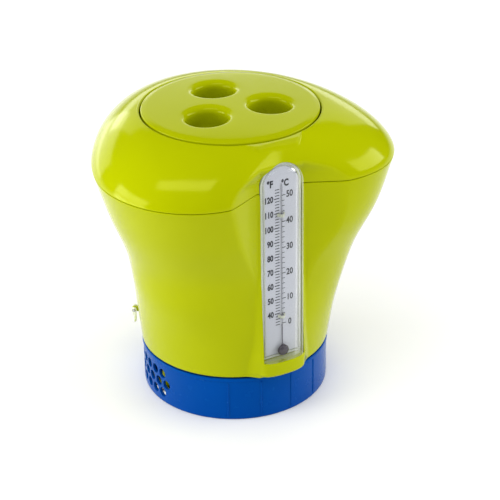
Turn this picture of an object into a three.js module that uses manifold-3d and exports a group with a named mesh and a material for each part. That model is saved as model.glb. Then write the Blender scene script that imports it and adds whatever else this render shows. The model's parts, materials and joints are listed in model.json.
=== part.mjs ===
// Floating chlorine dispenser for a pool: a hollow three-lobed float with a round twist-off lid,
// a tube for a stack of tablets, a vented dosing ring at the foot and a thermometer at the front.
//
// Millimetres, +Z up. The origin is on the surface that the dispenser stands on, on the axis of
// the dosing ring, the tube and the lid. The thermometer faces -Y. Plan angles are in degrees
// from the thermometer, positive towards +X at the front.
import * as THREE from 'three';
import { ParametricGeometry } from 'three/addons/geometries/ParametricGeometry.js';
import { mergeVertices } from 'three/addons/utils/BufferGeometryUtils.js';
import Module from 'manifold-3d';

const wasm = await Module();
wasm.setup();

// ---------- driving dimensions ----------

const GAP = 0.3;                 // clearance between neighbouring pieces
const WALL = 2.2;                // moulded wall of the float

// Float: the plan at each level is a mean radius, three lobes, a sideways shift and a front dip.
const LEVELS = [31, 60, 80, 100, 130, 158];
const MEAN_RADIUS = [60, 63.6, 66.8, 72, 84.8, 93.4];
const LOBE_HEIGHT = [0, 1.4, 3.4, 3.9, 4.8, 5.4];
const PLAN_SHIFT = [0, 0, 0.4, 3, 5.7, 5.9];
const FRONT_DIP = [0, 0.3, 2.6, 4.7, 8.9, 20.7];
const LOBE_ANGLE = 54.4;         // first lobe
const SHIFT_ANGLE = 123.5;       // way the plan shifts
const DIP_ANGLE = 6.9;           // middle of the front dip
const DIP_SPREAD = 29.4;
const VALLEY_DEPTH = 60;         // distance from the axis to the flat floor of the valley
const VALLEY_HALF = 14;          // half width of that floor
const VALLEY_SLOPE = 25.7;       // angle of the valley's walls
const VALLEY_RISE = 8;           // how far the valley comes forward at its top
const VALLEY_FADE = [164, 182];  // heights between which it does
const FOOT_Z = 31.2;             // underside of the float
const SEAM_Z = 158;              // joint between the two shells
const SHOULDER_Z = 187.4;        // top of the upper shell, round the lid
const DOME_POWER = 1.5;          // fullness of the dome, where 2 is an ellipse

// Lid, collar and opening
const OPENING_R = 55.2;
const LEDGE_Z = 172.8;
const LID_R = 54.6;
const LID_TOP_Z = 191;
const LID_UNDER_Z = 184.6;
const SKIRT_OUT = 49;
const WELL_COUNT = 3;
const WELL_R = 12.6;
const WELL_CIRCLE = 24;
const WELL_FLOOR_Z = 173.6;
const LUG_SPAN = 20;             // degrees
const LUG_R = 52.1;
const LUG_Z = [174.2, 177.2];
const LIP_R = 49.7;
const LIP_Z = [177.8, 180.6];
const LIP_OPENING = 28;          // degrees, where a lug drops through

// Tablet tube and its seals: 76 mm tablets
const TUBE_IN = 40;
const TUBE_OUT = 42;
const TUBE_Z = [4, 172];
const SEAL_R = [42.3, 45.3];
const SEAT_R = 45.6;

// Foot: skirt, ring, grille
const SKIRT_R = [52.4, 54.6];
const SKIRT_Z = 4;
const RING_OUT = 60;
const RING_IN = 57.6;
const RING_Z = [0, 30.3];
const VENT_R = 3.1;
const VENT_PITCH = 7.75;         // degrees
const VENT_ROWS = [[21.2, 5], [14.2, 6], [7.3, 5]];
const VENT_TURN = -5;            // turn of the vent panels from the sides
const RIB_ANGLES = [-30.45, -10.15, 10.15, 30.45];
const RIB_TURN = -2.3;
const WINDOW_SPAN = 50;          // degrees, in the skirt
const WINDOW_Z = [6, 25];
// Slots in the tube behind the windows, each under 4 mm wide so that they hold pieces of tablet back
const SLOT_ANGLES = [-20, -12, -4, 4, 12, 20];
const SLOT_SPAN = 5;
const GRILLE_R = 52.1;
const GRILLE_TOP = 3.4;
const SCREW_CIRCLE = 48.4;
const SCREW_ANGLES = [30, 150, 270];
const SCREW_HOLE_R = 1.5;
const SCREW_HOLE_Z = 16;
const BOSS_R = 4.2;

// Thermometer: distances from the axis towards the front
const SPINE_HALF = 15.4;
const SPINE_FRONT = 61.8;
const SPINE_TOP = 177.6;
const CHIN_Z = 32.6;             // underside of the chin under the cover
// Flared foot of the spine: height, half width, front, half width at its root
const BELL_ROOT = 53;
const BELL = [[CHIN_Z, 13.6, 67.5, 23.7], [43, 14.6, 66, 23.4], [98, 14.6, 62, 18.4]];
const POCKET_FLOOR = 57.1;
const POCKET_HALF = 14.2;
const POCKET_Z = [43, 175.2];
const COVER_HALF = 13.8;
const COVER_BASE = 61.3;
const COVER_FRONT = 68;
const COVER_WALL = 1.3;
const PLATE_HALF = 11.6;
const CAPILLARY_FRONT = 62;
const BULB_Z = 48.5;
const BULB_R = 3.6;
const FLUID_Z = [52.8, 66.1];
const CAPILLARY_TOP = 162;

// Tether eyelet
const EYELET_ANGLE = -120;
const EYELET_PIVOT = [64.6, 46.5]; // distance from the axis, height
const EYELET_R = [1.9, 3.7];
const EYELET_DROP = 5.8;         // from the pin to the middle of the loop
const EAR_R = 1.4;
const EAR_HALF = 1.2;
const PIN_HOLE_R = 1.1;
const PIN_R = 0.8;
const PIN_HALF = 3.4;
const CHEEK_R = 1.9;
const CHEEK_X = 2.2;
const CHEEK_HALF = 0.7;

// ---------- materials ----------

const plastic = (color, roughness = 0.25) => (
  new THREE.MeshStandardMaterial({ color, roughness, metalness: 0 })
);
const lime = plastic(0xb4c800);
const blue = plastic(0x0058b0);
const white = plastic(0xe4e8ee, 0.4);
const rubber = plastic(0x22262a, 0.8);
const steel = new THREE.MeshStandardMaterial({ color: 0xb8bcc0, roughness: 0.35, metalness: 1 });
const iron = new THREE.MeshStandardMaterial({ color: 0x5a5d60, roughness: 0.6, metalness: 1 });
const spirit = plastic(0x3a3444, 0.3);
const clear = new THREE.MeshStandardMaterial({
  color: 0xeef4f6,
  roughness: 0.08,
  metalness: 0,
  transparent: true,
  opacity: 0.35,
});

// ---------- solids ----------

const rad = THREE.MathUtils.degToRad;

// A plan angle from the thermometer, as an angle from +X.
const planAngle = (degrees) => rad(degrees - 90);

function toSolid(geometry) {
  const bare = geometry.clone();
  bare.deleteAttribute('normal');
  bare.deleteAttribute('uv');
  const merged = mergeVertices(bare, 1e-4);
  return new wasm.Manifold(new wasm.Mesh({
    numProp: 3,
    vertProperties: new Float32Array(merged.attributes.position.array),
    triVerts: new Uint32Array(merged.index.array),
  }));
}

function toGeometry(solid) {
  const mesh = solid.getMesh();
  const geometry = new THREE.BufferGeometry();
  geometry.setAttribute('position', new THREE.BufferAttribute(new Float32Array(mesh.vertProperties), 3));
  geometry.setIndex(new THREE.BufferAttribute(new Uint32Array(mesh.triVerts), 1));
  geometry.computeVertexNormals();
  return geometry;
}

// A profile of [radius, height] points turned round the axis. It starts and ends on the axis.
function turned(profile, segments = 40) {
  const points = profile.map(([r, z]) => new THREE.Vector2(r, z));
  return toSolid(new THREE.LatheGeometry(points, segments).rotateX(Math.PI / 2));
}

const disc = (r, z0, z1, segments) => turned([[0, z0], [r, z0], [r, z1], [0, z1]], segments);

function ring(rIn, rOut, z0, z1, segments = 40) {
  return turned([[rIn, z0], [rOut, z0], [rOut, z1], [rIn, z1], [rIn, z0]], segments);
}

function block(x0, x1, y0, y1, z0, z1) {
  const geometry = new THREE.BoxGeometry(x1 - x0, y1 - y0, z1 - z0);
  return toSolid(geometry.translate((x0 + x1) / 2, (y0 + y1) / 2, (z0 + z1) / 2));
}

function extruded(points, z0, z1) {
  const shape = new THREE.Shape(points.map(([x, y]) => new THREE.Vector2(x, y)));
  const geometry = new THREE.ExtrudeGeometry(shape, { depth: z1 - z0, bevelEnabled: false });
  return toSolid(geometry.translate(0, 0, z0));
}

// An upright rod centred at a plan angle and distance.
function rod(r, distance, degrees, z0, z1, segments = 12) {
  const a = planAngle(degrees);
  return disc(r, z0, z1, segments).translate([distance * Math.cos(a), distance * Math.sin(a), 0]);
}

// A sector of a ring, centred at a plan angle.
function sector(rIn, rOut, z0, z1, degrees, span) {
  const steps = Math.max(2, Math.ceil(span / 9));
  const at = (r, i) => {
    const a = planAngle(degrees - span / 2 + (span * i) / steps);
    return [r * Math.cos(a), r * Math.sin(a)];
  };
  const outer = Array.from({ length: steps + 1 }, (_, i) => at(rOut, i));
  const inner = Array.from({ length: steps + 1 }, (_, i) => at(rIn, steps - i));
  return extruded([...outer, ...inner], z0, z1);
}

// ---------- the float's surface ----------

// Smooth curve through the values at LEVELS.
function atLevel(values, z) {
  const last = LEVELS.length - 1;
  const slope = (i) => {
    const before = i > 0 ? (values[i] - values[i - 1]) / (LEVELS[i] - LEVELS[i - 1]) : null;
    const after = i < last ? (values[i + 1] - values[i]) / (LEVELS[i + 1] - LEVELS[i]) : null;
    if (before === null) return after;
    if (after === null) return before;
    const share = (LEVELS[i + 1] - LEVELS[i]) / (LEVELS[i + 1] - LEVELS[i - 1]);
    return share * before + (1 - share) * after;
  };
  const height = THREE.MathUtils.clamp(z, LEVELS[0], LEVELS[last]);
  const i = Math.min(LEVELS.findLastIndex((level) => level <= height), last - 1);
  const step = LEVELS[i + 1] - LEVELS[i];
  const t = (height - LEVELS[i]) / step;
  const start = (2 * t - 3) * t * t + 1;
  const startSlope = ((t - 2) * t + 1) * t;
  const endSlope = (t - 1) * t * t;
  return start * values[i] + (1 - start) * values[i + 1]
    + step * (startSlope * slope(i) + endSlope * slope(i + 1));
}

const wrapped = (degrees) => ((degrees + 540) % 360) - 180;

// Distance from the axis to the float's surface, `inset` inside it.
function floatRadius(degrees, z, inset = 0) {
  const level = Math.min(z, SEAM_Z);
  const dip = Math.exp(-((wrapped(degrees - DIP_ANGLE) / DIP_SPREAD) ** 2));
  let radius = atLevel(MEAN_RADIUS, level)
    + atLevel(LOBE_HEIGHT, level) * Math.cos(rad(3 * (degrees - LOBE_ANGLE)))
    + atLevel(PLAN_SHIFT, level) * Math.cos(rad(degrees - SHIFT_ANGLE))
    - atLevel(FRONT_DIP, level) * dip;
  radius -= inset;
  if (z > SEAM_Z) {
    const rise = Math.min(1, (z - SEAM_Z) / (SHOULDER_Z - inset - SEAM_Z));
    const spread = (1 - rise ** DOME_POWER) ** (1 / DOME_POWER);
    radius = OPENING_R + (radius - OPENING_R) * spread;
  }
  const side = Math.abs(wrapped(degrees));
  if (side < 60) {
    const slope = Math.tan(rad(VALLEY_SLOPE));
    const wall = (VALLEY_DEPTH - VALLEY_HALF * slope) / (Math.cos(rad(side)) - slope * Math.sin(rad(side)));
    const floor = VALLEY_DEPTH / Math.cos(rad(side));
    const rise = VALLEY_RISE * THREE.MathUtils.smoothstep(z, VALLEY_FADE[0], VALLEY_FADE[1]);
    radius = Math.min(radius, Math.max(wall, floor) + rise - inset);
  }
  return radius;
}

// Plan angles of the surface's columns, closer together in the valley.
function floatColumns() {
  const columns = [];
  for (let a = -48; a < 48; a += 4) columns.push(a);
  for (let a = 48; a <= 312; a += 8) columns.push(a);
  return columns;
}

const COLUMNS = floatColumns();
const LOWER_ROWS = [31.2, 50, 70, 88, 104, 120, 136, 148, 157.8];
const DOME_STEPS = 6;

// Heights of the dome's rows, from the seam to its top.
function domeRows(bottom, top) {
  const rows = [];
  for (let i = 0; i <= DOME_STEPS; i++) {
    rows.push(bottom + (top - bottom) * Math.sin((Math.PI / 2) * (i / DOME_STEPS)) ** (2 / DOME_POWER));
  }
  return rows;
}

// The solid inside the surface between the first and last of the rows.
function floatForm(rows, inset = 0) {
  const stacks = rows.length + 1;
  const place = (u, v, target) => {
    const row = Math.round(v * stacks) - 1;
    const z = rows[THREE.MathUtils.clamp(row, 0, rows.length - 1)];
    const column = COLUMNS[Math.round(u * (COLUMNS.length - 1))];
    const onAxis = row < 0 || row >= rows.length;
    const radius = onAxis ? 0 : floatRadius(column, z, inset);
    const a = planAngle(column);
    target.set(radius * Math.cos(a), radius * Math.sin(a), z);
  };
  return toSolid(new ParametricGeometry(place, COLUMNS.length - 1, stacks));
}

// ---------- thermometer outlines ----------

// A flat slab facing the front, with a round top.
function slab(half, back, front, z0, z1) {
  const shape = new THREE.Shape();
  shape.moveTo(-half, z0);
  shape.lineTo(half, z0);
  shape.absarc(0, z1 - half, half, 0, Math.PI, false);
  shape.closePath();
  const geometry = new THREE.ExtrudeGeometry(shape, {
    depth: front - back,
    bevelEnabled: false,
    curveSegments: 12,
  });
  return toSolid(geometry.rotateX(Math.PI / 2).translate(0, -back, 0));
}

// An upright bar with a crowned front: straight sides that round into the face.
function crownedBar(half, back, front, z0, z1) {
  const steps = 12;
  const points = [];
  for (let i = 0; i <= steps; i++) {
    const t = Math.PI * (i / steps);
    const side = Math.sign(Math.cos(t)) * Math.abs(Math.cos(t)) ** 0.7;
    points.push([half * side, -(back + (front - back) * Math.sin(t) ** 0.7)]);
  }
  return extruded(points.reverse(), z0, z1);
}

// The ridge that carries the thermometer, wider at its root.
function spineBar(z0, z1) {
  const root = SPINE_HALF + 8.4;
  const back = 53.6;
  return extruded([
    [-root, -back],
    [-SPINE_HALF, -SPINE_FRONT],
    [SPINE_HALF, -SPINE_FRONT],
    [root, -back],
  ], z0, z1);
}

// The spine's flanks spread towards the foot and hold the cover between them.
function spineBell() {
  const corners = BELL.flatMap(([z, half, front, root]) => [
    [-half, -front, z],
    [half, -front, z],
    [-root, -BELL_ROOT, z],
    [root, -BELL_ROOT, z],
  ]);
  return wasm.Manifold.hull(corners);
}

const spineCore = (z0, z1) => block(-16.4, 16.4, -80, -54.4, z0, z1);
const pocket = () => slab(POCKET_HALF, POCKET_FLOOR, 80, POCKET_Z[0], POCKET_Z[1]);

// ---------- shells ----------

function lowerShell() {
  const top = SEAM_Z - GAP / 2;
  const rows = [...LOWER_ROWS.slice(0, -1), top];
  const innerRows = [FOOT_Z + WALL, ...LOWER_ROWS.slice(1), top + 5];
  const chin = crownedBar(SPINE_HALF, SPINE_FRONT - 1, COVER_FRONT, CHIN_Z, POCKET_Z[0]);
  const spine = spineBar(FOOT_Z, top).add(spineBell()).add(chin);
  const outside = floatForm(rows).add(spine).add(tetherLug());
  const inside = floatForm(innerRows, WALL).subtract(spineCore(FOOT_Z, SEAM_Z + 10));
  let shell = outside.subtract(inside);
  shell = shell.add(ring(SKIRT_R[0], SKIRT_R[1], SKIRT_Z, FOOT_Z + 1));
  for (const angle of SCREW_ANGLES) {
    shell = shell.add(rod(BOSS_R, SCREW_CIRCLE, angle, SKIRT_Z, FOOT_Z + 1, 10));
  }
  shell = shell.subtract(disc(SEAT_R, 0, FOOT_Z + WALL + 1));
  for (const angle of SCREW_ANGLES) {
    shell = shell.subtract(rod(SCREW_HOLE_R, SCREW_CIRCLE, angle, 0, SCREW_HOLE_Z, 8));
  }
  for (const side of [90, -90]) {
    shell = shell.subtract(sector(50, 56, WINDOW_Z[0], WINDOW_Z[1], side + VENT_TURN, WINDOW_SPAN));
  }
  for (const angle of [-144, -36]) {
    shell = shell.add(sector(SKIRT_R[1] - 0.4, RING_IN - 0.5, 10, 14, angle, 5));
  }
  return shell.subtract(pocket());
}

function upperShell() {
  const bottom = SEAM_Z + GAP / 2;
  const outer = floatForm(domeRows(bottom, SHOULDER_Z));
  const inner = floatForm([bottom - 5, ...domeRows(bottom, SHOULDER_Z - WALL)], WALL);
  const spine = spineBar(bottom, SPINE_TOP).intersect(slab(24, 40, 80, 100, SPINE_TOP));
  const cup = ring(SEAT_R, OPENING_R + 1.8, LEDGE_Z - WALL, SHOULDER_Z + 2).intersect(outer);
  const core = spineCore(bottom - 10, SPINE_TOP).intersect(slab(16.4, 40, 80, 100, SPINE_TOP));
  const shell = outer.add(spine).subtract(inner.subtract(core)).add(cup);
  return shell
    .subtract(disc(OPENING_R, LEDGE_Z, SHOULDER_Z + 5))
    .subtract(disc(SEAT_R, 150, LEDGE_Z + 1))
    .subtract(pocket());
}

// Band just inside both shells, open where the thermometer pocket crosses the seam.
function seamGasket() {
  const outer = floatForm([SEAM_Z - 3, SEAM_Z + 0.1], WALL + GAP + 0.3);
  const inner = floatForm([SEAM_Z - 6, SEAM_Z + 6], WALL + GAP + 3);
  return outer.subtract(inner).subtract(block(-24, 24, -90, 0, 100, 200));
}

// ---------- lid ----------

function lid() {
  const rim = SHOULDER_Z;
  const edge = 1;
  const cap = turned([
    [0, LID_UNDER_Z], [LID_R, LID_UNDER_Z], [LID_R, rim - edge], [LID_R - edge, rim],
    [LID_R * 0.75, rim + 1.9], [LID_R * 0.4, LID_TOP_Z - 0.5], [0, LID_TOP_Z],
  ]);
  let solid = cap.add(ring(SKIRT_OUT - 2.4, SKIRT_OUT, WELL_FLOOR_Z - 0.4, LID_UNDER_Z + 0.5));
  const wells = Array.from({ length: WELL_COUNT }, (_, i) => LOBE_ANGLE + 2 + (360 / WELL_COUNT) * i);
  for (const angle of wells) {
    solid = solid.add(rod(WELL_R + 1.8, WELL_CIRCLE, angle, WELL_FLOOR_Z - 2, LID_UNDER_Z + 1, 20));
  }
  for (const angle of wells) {
    solid = solid.subtract(rod(WELL_R, WELL_CIRCLE, angle, WELL_FLOOR_Z, LID_TOP_Z + 2, 20));
    solid = solid.add(sector(SKIRT_OUT - 1, LUG_R, LUG_Z[0], LUG_Z[1], angle, LUG_SPAN));
  }
  return solid;
}

function lidCollar() {
  let solid = ring(LUG_R + 0.5, OPENING_R - 0.4, LEDGE_Z + GAP, 181);
  solid = solid.add(ring(LIP_R, LUG_R + 1, LIP_Z[0], LIP_Z[1]));
  for (let i = 0; i < WELL_COUNT; i++) {
    const angle = LOBE_ANGLE + 2 + (360 / WELL_COUNT) * i;
    solid = solid.subtract(sector(40, LUG_R + 0.5, LIP_Z[0] - 1, LIP_Z[1] + 1, angle, LIP_OPENING));
  }
  return solid;
}

function roundRing(radius, thick, z) {
  const sides = 6;
  const profile = Array.from({ length: sides + 1 }, (_, i) => {
    const t = (2 * Math.PI * (i % sides)) / sides;
    return [radius + thick * Math.cos(t), z + thick * Math.sin(t)];
  });
  return turned(profile);
}

// ---------- tube, grille, foot ----------

function tabletTube() {
  let solid = ring(TUBE_IN, TUBE_OUT, TUBE_Z[0], TUBE_Z[1]);
  for (const side of [90, -90]) {
    for (const offset of SLOT_ANGLES) {
      const centre = side + VENT_TURN + offset;
      solid = solid.subtract(sector(TUBE_IN - 4, TUBE_OUT + 4, WINDOW_Z[0] + 1, WINDOW_Z[1], centre, SLOT_SPAN));
    }
  }
  return solid;
}

function tabletGrille() {
  let solid = disc(GRILLE_R, 0, GRILLE_TOP);
  for (let i = 0; i < 6; i++) {
    for (const [rIn, rOut] of [[9, 17], [20, 27], [30, 37]]) {
      solid = solid.subtract(sector(rIn, rOut, -1, 5, 60 * i, 46));
    }
  }
  for (const angle of SCREW_ANGLES) {
    solid = solid.subtract(rod(3.2, SCREW_CIRCLE, angle, -1, 1.8, 12));
    solid = solid.subtract(rod(1.6, SCREW_CIRCLE, angle, -1, 5, 8));
  }
  return solid;
}

function grilleScrew(angle) {
  const head = rod(2.8, SCREW_CIRCLE, angle, 0.2, 1.5, 12);
  const socket = rod(1.1, SCREW_CIRCLE, angle, -1, 0.9, 6);
  return head.add(rod(1.2, SCREW_CIRCLE, angle, 0.9, 14, 8)).subtract(socket);
}

function dosingRing() {
  const flange = 2.6;
  let solid = turned([
    [RING_IN, RING_Z[0]], [RING_OUT - 0.8, RING_Z[0]], [RING_OUT - 0.4, 2],
    [RING_OUT - 0.4, RING_Z[1] - flange], [RING_OUT, RING_Z[1] - flange],
    [RING_OUT, RING_Z[1] - 0.6], [RING_OUT - 0.6, RING_Z[1]], [RING_IN, RING_Z[1]],
    [RING_IN, RING_Z[0]],
  ], 60);
  for (const face of [0, 180]) {
    for (const rib of RIB_ANGLES) {
      solid = solid.add(sector(RING_IN + 1, RING_OUT, 2, RING_Z[1] - 2, face + rib + RIB_TURN, 1.2));
    }
  }
  for (const angle of [-130, -10, 110]) {
    solid = solid.add(sector(SKIRT_R[1] + GAP, RING_IN + 0.5, 6.5, 8.5, angle, 16));
  }
  solid = solid.add(sector(SKIRT_R[1] + 0.6, RING_IN + 0.5, 10, 14, -135, 5));
  const openings = [];
  for (const side of [90, -90]) {
    for (const [z, count] of VENT_ROWS) {
      for (let i = 0; i < count; i++) {
        const a = planAngle(side + VENT_TURN + VENT_PITCH * (i - (count - 1) / 2));
        const drill = new THREE.CylinderGeometry(VENT_R, VENT_R, 12, 8).rotateZ(Math.PI / 2);
        drill.rotateZ(a).translate(RING_OUT * Math.cos(a), RING_OUT * Math.sin(a), z);
        openings.push(toSolid(drill));
      }
    }
  }
  return openings.reduce((left, opening) => left.subtract(opening), solid);
}

// Split snap ring on the skirt, under the dosing ring's inner lips.
function ringRetainer() {
  const solid = ring(SKIRT_R[1] + GAP, RING_IN - GAP, 4, 6.1);
  return solid.subtract(sector(50, 60, 0, 10, 45, 6));
}

// ---------- thermometer ----------

function thermometerCover() {
  const [z0, z1] = [POCKET_Z[0] + GAP, POCKET_Z[1] - GAP];
  const outer = crownedBar(COVER_HALF, COVER_BASE, COVER_FRONT, z0, z1)
    .intersect(slab(COVER_HALF, 50, 80, z0, z1));
  const half = COVER_HALF - COVER_WALL;
  const inner = crownedBar(half, COVER_BASE - 1, COVER_FRONT - COVER_WALL, z0 + COVER_WALL, z1)
    .intersect(slab(half, 50, 80, z0 + COVER_WALL, z1 - COVER_WALL));
  return outer.subtract(inner);
}

function thermometerTray() {
  const [z0, z1] = [POCKET_Z[0] + 0.6, POCKET_Z[1] - 0.4];
  const rim = 1.4;
  return slab(COVER_HALF, 58.5, 61, z0, z1)
    .subtract(slab(COVER_HALF - rim, 59.7, 65, z0 + rim, z1 - rim));
}

function trayGasket() {
  const [z0, z1] = [POCKET_Z[0] + 0.6, POCKET_Z[1] - 0.4];
  return slab(COVER_HALF, 57.4, 58.2, z0, z1)
    .subtract(slab(COVER_HALF - 2.4, 50, 70, z0 + 2.4, z1 - 2.4));
}

const scalePlate = () => slab(PLATE_HALF, 60, 60.8, POCKET_Z[0] + 2.5, POCKET_Z[1] - 2.2);

function capillaryTube() {
  return ring(0.6, 1, FLUID_Z[0] - 0.4, CAPILLARY_TOP, 10).translate([0, -CAPILLARY_FRONT, 0]);
}

const capillaryFluid = () => disc(0.3, FLUID_Z[0], FLUID_Z[1], 8).translate([0, -CAPILLARY_FRONT, 0]);

function thermometerBulb() {
  const ball = toSolid(new THREE.SphereGeometry(1, 16, 10).rotateX(Math.PI / 2));
  return ball.scale([BULB_R, 2.1, BULB_R]).translate([0, -(CAPILLARY_FRONT + 1.3), BULB_Z]);
}

// Staple over the capillary tube.
function capillaryClip(z) {
  const outer = block(-2.6, 2.6, -63.9, -61.1, z, z + 1.8);
  return outer.subtract(block(-1.4, 1.4, -63.4, -60, z - 1, z + 3));
}

// ---------- tether eyelet ----------

// Moves a solid from the front to a plan angle.
const turnTo = (solid, degrees) => solid.rotate([0, 0, degrees]);

function crossRod(r, half, distance, z, segments = 12) {
  const geometry = new THREE.CylinderGeometry(r, r, 2 * half, segments).rotateZ(Math.PI / 2);
  return toSolid(geometry.translate(0, -distance, z));
}

// Single ear on the float, which the eyelet straddles.
function tetherLug() {
  const [distance, z] = EYELET_PIVOT;
  const tongue = block(-EAR_HALF, EAR_HALF, -distance, -58, z - EAR_R, z + EAR_R);
  const ear = crossRod(EAR_R, EAR_HALF, distance, z).add(tongue);
  return turnTo(ear.subtract(crossRod(PIN_HOLE_R, 10, distance, z)), EYELET_ANGLE);
}

// Clear loop with two cheeks on the pin.
function tetherEyelet() {
  const [distance, z] = EYELET_PIVOT;
  const disk = (r, half) => {
    const geometry = new THREE.CylinderGeometry(r, r, 2 * half, 20);
    return toSolid(geometry.translate(0, -distance, z - EYELET_DROP));
  };
  let loop = disk(EYELET_R[1], 1);
  for (const side of [-1, 1]) {
    const x = side * CHEEK_X;
    const [x0, x1] = [x - CHEEK_HALF, x + CHEEK_HALF];
    loop = loop.add(crossRod(CHEEK_R, CHEEK_HALF, distance, z, 16).translate([x, 0, 0]));
    loop = loop.add(block(x0, x1, -(distance + 1), -(distance - 1), z - EYELET_DROP, z));
  }
  const holes = disk(EYELET_R[0], 3).add(crossRod(PIN_HOLE_R, 10, distance, z));
  return turnTo(loop.subtract(holes), EYELET_ANGLE);
}

const eyeletPin = () => turnTo(crossRod(PIN_R, PIN_HALF, ...EYELET_PIVOT), EYELET_ANGLE);

// ---------- assembly ----------

const dispenser = new THREE.Group();

function addPiece(name, solid, material) {
  const mesh = new THREE.Mesh(toGeometry(solid), material);
  mesh.name = name;
  dispenser.add(mesh);
}

addPiece('lower_shell', lowerShell(), lime);
addPiece('upper_shell', upperShell(), lime);
addPiece('seam_gasket', seamGasket(), rubber);
addPiece('lid_collar', lidCollar(), lime);
addPiece('lid', lid(), lime);
addPiece('lid_seal', roundRing(52, 1.3, 182.9), rubber);
addPiece('tablet_tube', tabletTube(), lime);
addPiece('tube_seal_upper', ring(SEAL_R[0], SEAL_R[1], LEDGE_Z - 2, LEDGE_Z - 0.3), rubber);
addPiece('tube_seal_lower', ring(SEAL_R[0], SEAL_R[1], FOOT_Z + 0.2, FOOT_Z + 2), rubber);
addPiece('ballast_ring', ring(46.2, 53, FOOT_Z + WALL + GAP, 40), iron);
addPiece('tablet_grille', tabletGrille(), blue);
SCREW_ANGLES.forEach((angle, i) => addPiece(`grille_screw_${i + 1}`, grilleScrew(angle), steel));
addPiece('dosing_ring', dosingRing(), blue);
addPiece('ring_retainer', ringRetainer(), white);
addPiece('thermometer_cover', thermometerCover(), clear);
addPiece('thermometer_tray', thermometerTray(), white);
addPiece('tray_gasket', trayGasket(), rubber);
addPiece('scale_plate', scalePlate(), white);
addPiece('capillary_tube', capillaryTube(), clear);
addPiece('capillary_fluid', capillaryFluid(), spirit);
addPiece('thermometer_bulb', thermometerBulb(), spirit);
addPiece('capillary_clip_lower', capillaryClip(71.2), white);
addPiece('capillary_clip_upper', capillaryClip(140.4), white);
addPiece('tether_eyelet', tetherEyelet(), clear);
addPiece('eyelet_pin', eyeletPin(), steel);

export default dispenser;
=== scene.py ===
import json
import math

import bmesh
import bpy
import numpy as np
from mathutils import Matrix, Vector
from mathutils.geometry import delaunay_2d_cdt

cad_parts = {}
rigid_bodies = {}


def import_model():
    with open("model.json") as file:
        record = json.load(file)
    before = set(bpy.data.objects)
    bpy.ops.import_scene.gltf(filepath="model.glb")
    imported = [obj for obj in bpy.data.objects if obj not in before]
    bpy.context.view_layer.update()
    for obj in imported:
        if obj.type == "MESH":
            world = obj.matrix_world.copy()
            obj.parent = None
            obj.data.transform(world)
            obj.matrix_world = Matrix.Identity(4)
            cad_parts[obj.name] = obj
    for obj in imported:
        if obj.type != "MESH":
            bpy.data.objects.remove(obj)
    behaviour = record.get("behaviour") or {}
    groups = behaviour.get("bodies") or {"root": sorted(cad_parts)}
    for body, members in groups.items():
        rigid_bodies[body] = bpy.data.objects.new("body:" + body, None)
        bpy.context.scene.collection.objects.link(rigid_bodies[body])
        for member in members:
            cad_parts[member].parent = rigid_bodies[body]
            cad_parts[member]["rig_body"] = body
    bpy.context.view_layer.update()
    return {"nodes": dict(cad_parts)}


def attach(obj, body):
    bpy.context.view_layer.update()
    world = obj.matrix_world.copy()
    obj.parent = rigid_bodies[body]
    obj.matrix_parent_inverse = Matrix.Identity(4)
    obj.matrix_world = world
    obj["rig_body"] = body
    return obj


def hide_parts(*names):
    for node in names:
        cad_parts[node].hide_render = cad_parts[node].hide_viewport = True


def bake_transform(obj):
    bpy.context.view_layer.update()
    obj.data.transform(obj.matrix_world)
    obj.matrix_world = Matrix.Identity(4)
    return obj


# The looks of a floating chlorine dispenser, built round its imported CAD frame.
# Shapes are worked out in millimetres in the CAD frame and scaled to metres when a mesh is made.
# Plan angles are in degrees from the thermometer (-Y), positive towards +X.

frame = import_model()

MM = 0.001

# ---------- dimensions of the CAD model ----------

# The float's plan at each level: a mean radius, three lobes, a sideways shift and a dip at the front
LEVELS = np.array([31.0, 60.0, 80.0, 100.0, 130.0, 158.0])
MEAN_RADIUS = [60, 63.6, 66.8, 72, 84.8, 93.4]
LOBE_HEIGHT = [0, 1.4, 3.4, 3.9, 4.8, 5.4]
PLAN_SHIFT = [0, 0, 0.4, 3, 5.7, 5.9]
FRONT_DIP = [0, 0.3, 2.6, 4.7, 8.9, 20.7]
LOBE_ANGLE = 54.4
SHIFT_ANGLE = 123.5
DIP_ANGLE = 6.9
DIP_SPREAD = 29.4
VALLEY_DEPTH = 60
VALLEY_HALF = 14
VALLEY_SLOPE = math.tan(math.radians(25.7))
VALLEY_RISE = 8           # the valley's floor comes forward by this much over VALLEY_FADE
VALLEY_FADE = (164, 182)
FOOT_Z = 31.2
SEAM_Z = 158
SHOULDER_Z = 187.4
DOME_POWER = 1.5
WALL = 2.2
OPENING_R = 55.2
LEDGE_Z = 172.8
SEAT_R = 45.6
SKIRT_R = (52.4, 54.6)
SKIRT_Z = 4
SPINE_HALF = 15.4
SPINE_FRONT = 61.8
SPINE_FALL = 8.2          # the spine's flanks fall back this far
SPINE_SPREAD = 8.4        # for every such step aside
SPINE_SINK = 4            # the spine sinks into the dome by this much over SPINE_FADE
SPINE_FADE = (150, 182)
CHIN_Z = 32.6
CHIN_POWER = 2.5          # fullness of the chin's section, where 2 is an ellipse
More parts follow.
